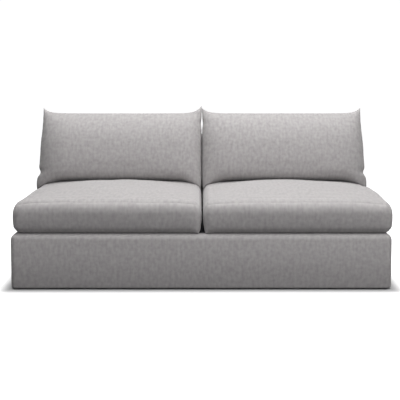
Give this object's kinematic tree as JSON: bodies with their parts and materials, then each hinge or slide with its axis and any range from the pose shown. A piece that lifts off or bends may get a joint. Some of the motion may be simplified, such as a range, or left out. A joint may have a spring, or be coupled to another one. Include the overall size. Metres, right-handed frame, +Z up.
{
  "type": "armless sofa",
  "caption": "Armless sofa: a low upholstered platform with a sloped back, crowned loose seat cushions and knife-edge back cushions, on low feet under the base.",
  "frame": {"origin": "on the floor under the middle of the sofa", "axes": "+X across the sofa to the right seen from the front, the front faces -Y, +Z up"},
  "size_m": [1.9, 1, 0.8702],
  "materials": {
    "frame_fabric": "matt woven, heathered grey",
    "cushion_fabric": "matt woven, heathered grey",
    "frame_wood": "planed softwood",
    "back_board": "hardboard",
    "fastener_steel": "zinc plated",
    "spring_steel": "oiled wire",
    "webbing": "woven elastic webbing",
    "foam": "open-cell foam",
    "fibre_fill": "fibre in a white liner",
    "deck_cloth": "matt platform cloth",
    "dust_cloth": "bonded black cambric",
    "foot_plastic": "matt moulded",
    "zip_tape": "grey tape and coil",
    "slider_metal": "grey lacquer"
  },
  "bodies": {
    "frame": {"front_rail": "frame_wood", "rear_rail": "frame_wood", "side_rail_left": "frame_wood", "side_rail_right": "frame_wood", "centre_rail": "frame_wood", "spring_batten_front": "frame_wood", "spring_batten_rear": "frame_wood", "corner_blocks": "frame_wood", "back_post_left": "frame_wood", "back_post_right": "frame_wood", "back_post_centre": "frame_wood", "back_top_rail": "frame_wood", "back_web_rail": "frame_wood", "back_bottom_rail": "frame_wood", "back_panel": "back_board", "frame_screws": "fastener_steel", "back_bolts": "fastener_steel", "seat_springs_left": "spring_steel", "seat_springs_right": "spring_steel", "spring_clips": "spring_steel", "tie_wires": "spring_steel", "back_webbing_upright": "webbing", "back_webbing_level": "webbing", "front_pad": "foam", "side_pad_left": "foam", "side_pad_right": "foam", "deck_pad": "foam", "deck_cloth": "deck_cloth", "back_foam": "foam", "back_side_pad_left": "foam", "back_side_pad_right": "foam", "base_cover": "frame_fabric", "back_cover": "frame_fabric", "dust_cover": "dust_cloth", "feet": "foot_plastic", "foot_screws": "fastener_steel"},
    "seat_cushion_left": {"seat_cover_left": "cushion_fabric", "seat_core_left": "foam", "seat_zip_left": "zip_tape"},
    "back_cushion_left": {"back_cushion_cover_left": "cushion_fabric", "back_cushion_fill_left": "fibre_fill", "back_zip_left": "zip_tape"},
    "seat_slider_left": {"seat_zip_slider_left": "slider_metal"},
    "back_slider_left": {"back_zip_slider_left": "slider_metal"},
    "seat_cushion_right": {"seat_cover_right": "cushion_fabric", "seat_core_right": "foam", "seat_zip_right": "zip_tape"},
    "back_cushion_right": {"back_cushion_cover_right": "cushion_fabric", "back_cushion_fill_right": "fibre_fill", "back_zip_right": "zip_tape"},
    "seat_slider_right": {"seat_zip_slider_right": "slider_metal"},
    "back_slider_right": {"back_zip_slider_right": "slider_metal"}
  },
  "joints": [
    {"name": "seat_cushion_left_out", "type": "slide", "parent": "frame", "child": "seat_cushion_left", "axis": [0, -1, 0], "range_m": [0, 0.8]},
    {"name": "back_cushion_left_up", "type": "slide", "parent": "frame", "child": "back_cushion_left", "axis": [0, 0, 1], "range_m": [0, 0.5]},
    {"name": "seat_cushion_right_out", "type": "slide", "parent": "frame", "child": "seat_cushion_right", "axis": [0, -1, 0], "range_m": [0, 0.8]},
    {"name": "back_cushion_right_up", "type": "slide", "parent": "frame", "child": "back_cushion_right", "axis": [0, 0, 1], "range_m": [0, 0.5]},
    {"name": "seat_zip_left_run", "type": "slide", "parent": "seat_cushion_left", "child": "seat_slider_left", "axis": [1, 0, 0], "range_m": [0, 0.485]},
    {"name": "back_zip_left_run", "type": "slide", "parent": "back_cushion_left", "child": "back_slider_left", "axis": [1, 0, 0], "range_m": [0, 0.485]},
    {"name": "seat_zip_right_run", "type": "slide", "parent": "seat_cushion_right", "child": "seat_slider_right", "axis": [-1, 0, 0], "range_m": [0, 0.485]},
    {"name": "back_zip_right_run", "type": "slide", "parent": "back_cushion_right", "child": "back_slider_right", "axis": [-1, 0, 0], "range_m": [0, 0.485]}
  ]
}
